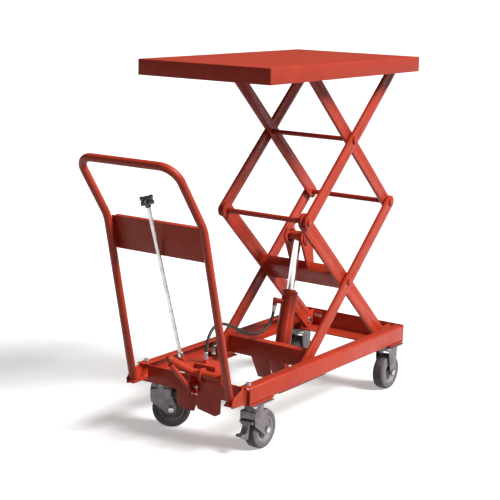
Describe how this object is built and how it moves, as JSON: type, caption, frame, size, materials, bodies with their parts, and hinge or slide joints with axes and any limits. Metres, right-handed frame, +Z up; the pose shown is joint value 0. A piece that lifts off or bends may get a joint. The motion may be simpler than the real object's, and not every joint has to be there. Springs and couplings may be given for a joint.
{
  "type": "double scissor lift table",
  "caption": "Mobile hydraulic lift table: a flat platform on a two-stage scissor, foot pump and lift cylinder, on a wheeled frame with a push handle.",
  "frame": {"origin": "middle of the footprint box, on the floor under the wheels", "axes": "+Z up; +X along the platform, away from the push handle; +Y to the left of someone pushing"},
  "size_m": [1.313, 0.5, 1.1926],
  "materials": {
    "red_paint": "satin powder coat",
    "bright_steel": "zinc plated",
    "caster_steel": "grey zinc passivated pressing",
    "chrome_rod": "hard chrome, ground",
    "knob_plastic": "moulded phenolic",
    "hose_rubber": "smooth hose cover",
    "tyre_rubber": "solid grey elastic tyre",
    "hub_plastic": "moulded nylon wheel centre"
  },
  "bodies": {
    "chassis": {"base_rails": "red_paint", "rear_cross_member": "red_paint", "rear_pivot_brackets": "red_paint", "rear_pivot_pins": "bright_steel", "front_caster_sheet": "red_paint", "rail_gussets": "red_paint", "front_plate": "red_paint", "handle_tube": "red_paint", "handle_panel": "red_paint", "handle_foot_brackets": "red_paint", "frame_bolts": "bright_steel", "pump_block": "red_paint", "hydraulic_hose": "hose_rubber", "swivel_caster_plates": "caster_steel", "rigid_caster_forks": "caster_steel", "rigid_caster_axles": "bright_steel"},
    "lower_inner": {"lower_inner_arms": "red_paint", "lower_inner_beam": "red_paint", "cylinder_levers": "red_paint", "mid_left_rod": "red_paint", "lower_centre_pins": "red_paint"},
    "lower_outer": {"lower_outer_arms": "red_paint", "mid_right_rod": "red_paint", "lower_roller_axles": "bright_steel", "lower_outer_tie": "red_paint", "cylinder_foot_bracket": "red_paint", "cylinder_foot_pin": "bright_steel"},
    "upper_outer": {"upper_outer_arms": "red_paint", "upper_centre_shaft": "red_paint"},
    "upper_inner": {"upper_inner_arms": "red_paint", "upper_roller_axles": "bright_steel"},
    "platform": {"deck_pan": "red_paint", "deck_guide_channels": "red_paint", "deck_pivot_pins": "bright_steel"},
    "lower_left_roller": {"lower_left_roller": "bright_steel"},
    "lower_right_roller": {"lower_right_roller": "bright_steel"},
    "upper_left_roller": {"upper_left_roller": "bright_steel"},
    "upper_right_roller": {"upper_right_roller": "bright_steel"},
    "lift_barrel": {"cylinder_barrel": "red_paint", "cylinder_gland": "red_paint"},
    "lift_rod": {"cylinder_rod": "chrome_rod", "rod_end_pin": "bright_steel"},
    "pump_pedal": {"pump_pedal": "red_paint"},
    "pump_plunger": {"pump_plunger": "bright_steel"},
    "release": {"release_rod": "bright_steel", "release_knob": "knob_plastic"},
    "left_caster": {"left_caster_fork": "caster_steel", "left_caster_axle": "bright_steel"},
    "right_caster": {"right_caster_fork": "caster_steel", "right_caster_axle": "bright_steel"},
    "right_brake": {"right_caster_brake": "caster_steel"},
    "front_left_wheel": {"front_left_tyre": "tyre_rubber", "front_left_hub": "hub_plastic"},
    "front_right_wheel": {"front_right_tyre": "tyre_rubber", "front_right_hub": "hub_plastic"},
    "rear_left_wheel": {"rear_left_tyre": "tyre_rubber", "rear_left_hub": "hub_plastic"},
    "rear_right_wheel": {"rear_right_tyre": "tyre_rubber", "rear_right_hub": "hub_plastic"}
  },
  "joints": [
    {"name": "lift", "type": "hinge", "parent": "chassis", "child": "lower_inner", "pos_m": [0.5933, 0, 0.1965], "axis": [0, -1, 0], "range_deg": [-6, 37.4], "deforming": ["hydraulic_hose"]},
    {"name": "lower_cross", "type": "hinge", "parent": "lower_inner", "child": "lower_outer", "pos_m": [0.32783, 0, 0.43891], "axis": [0, -1, 0], "range_deg": [-74.9, 12.1]},
    {"name": "left_knuckle", "type": "hinge", "parent": "lower_inner", "child": "upper_outer", "pos_m": [0.06235, 0, 0.68132], "axis": [0, -1, 0], "range_deg": [-74.9, 12.1]},
    {"name": "upper_cross", "type": "hinge", "parent": "upper_outer", "child": "upper_inner", "pos_m": [0.32783, 0, 0.92374], "axis": [0, -1, 0], "range_deg": [-12.1, 74.9]},
    {"name": "platform_pivot", "type": "hinge", "parent": "upper_outer", "child": "platform", "pos_m": [0.5933, 0, 1.16615], "axis": [0, -1, 0], "range_deg": [-6.1, 37.5]},
    {"name": "cylinder_foot", "type": "hinge", "parent": "lower_outer", "child": "lift_barrel", "pos_m": [0.1803, 0, 0.15172], "axis": [0, -1, 0], "range_deg": [-2.6, 15.9]},
    {"name": "cylinder_stroke", "type": "slide", "parent": "lift_barrel", "child": "lift_rod", "axis": [0.2022, 0, 0.9793], "range_m": [-0.1655, 0.0275]},
    {"name": "pedal_stroke", "type": "hinge", "parent": "chassis", "child": "pump_pedal", "pos_m": [-0.318, 0, 0.238], "axis": [0, -1, 0], "range_deg": [0, 22], "stiffness_Nm_per_rad": 14, "springref_deg": -5.73},
    {"name": "plunger_stroke", "type": "slide", "parent": "chassis", "child": "pump_plunger", "axis": [1, 0, 0], "range_m": [0, 0.0265]},
    {"name": "release_turn", "type": "hinge", "parent": "chassis", "child": "release", "pos_m": [-0.32, 0.0425, 0.282], "axis": [-0.4145, -0.0984, 0.9047], "range_deg": [0, 90]},
    {"name": "left_caster_swivel", "type": "hinge", "parent": "chassis", "child": "left_caster", "pos_m": [-0.238, 0.185, 0.15], "axis": [0, 0, 1], "continuous": true},
    {"name": "right_caster_swivel", "type": "hinge", "parent": "chassis", "child": "right_caster", "pos_m": [-0.238, -0.185, 0.15], "axis": [0, 0, 1], "continuous": true},
    {"name": "right_brake_pedal", "type": "hinge", "parent": "right_caster", "child": "right_brake", "pos_m": [-0.277, -0.185, 0.1015], "axis": [0, -1, 0], "range_deg": [0, 14]},
    {"name": "front_left_wheel_spin", "type": "hinge", "parent": "left_caster", "child": "front_left_wheel", "pos_m": [-0.21792, 0.15633, 0.0635], "axis": [0.8192, 0.5736, 0], "continuous": true},
    {"name": "front_right_wheel_spin", "type": "hinge", "parent": "right_caster", "child": "front_right_wheel", "pos_m": [-0.203, -0.185, 0.0635], "axis": [0, 1, 0], "continuous": true},
    {"name": "rear_left_wheel_spin", "type": "hinge", "parent": "chassis", "child": "rear_left_wheel", "pos_m": [0.593, 0.185, 0.0635], "axis": [0, 1, 0], "continuous": true},
    {"name": "rear_right_wheel_spin", "type": "hinge", "parent": "chassis", "child": "rear_right_wheel", "pos_m": [0.593, -0.185, 0.0635], "axis": [0, 1, 0], "continuous": true},
    {"name": "lower_left_roller_spin", "type": "hinge", "parent": "lower_outer", "child": "lower_left_roller", "pos_m": [0.06235, 0.2, 0.1965], "axis": [0, 1, 0], "continuous": true},
    {"name": "upper_left_roller_spin", "type": "hinge", "parent": "upper_inner", "child": "upper_left_roller", "pos_m": [0.06235, 0.197, 1.16615], "axis": [0, 1, 0], "continuous": true},
    {"name": "lower_right_roller_spin", "type": "hinge", "parent": "lower_outer", "child": "lower_right_roller", "pos_m": [0.06235, -0.2, 0.1965], "axis": [0, 1, 0], "continuous": true},
    {"name": "upper_right_roller_spin", "type": "hinge", "parent": "upper_inner", "child": "upper_right_roller", "pos_m": [0.06235, -0.197, 1.16615], "axis": [0, 1, 0], "continuous": true}
  ],
  "couplings": [
    {"joint": "lower_cross", "follows": "lift", "ratio": -2},
    {"joint": "left_knuckle", "follows": "lift", "ratio": -2},
    {"joint": "upper_cross", "follows": "lift", "ratio": 2},
    {"joint": "platform_pivot", "follows": "lift", "ratio": 1},
    {"joint": "cylinder_foot", "follows": "lift", "ratio": 0.4175},
    {"joint": "cylinder_stroke", "follows": "lift", "m_per_rad": -0.25182},
    {"joint": "plunger_stroke", "follows": "pedal_stroke", "m_per_rad": 0.068}
  ]
}
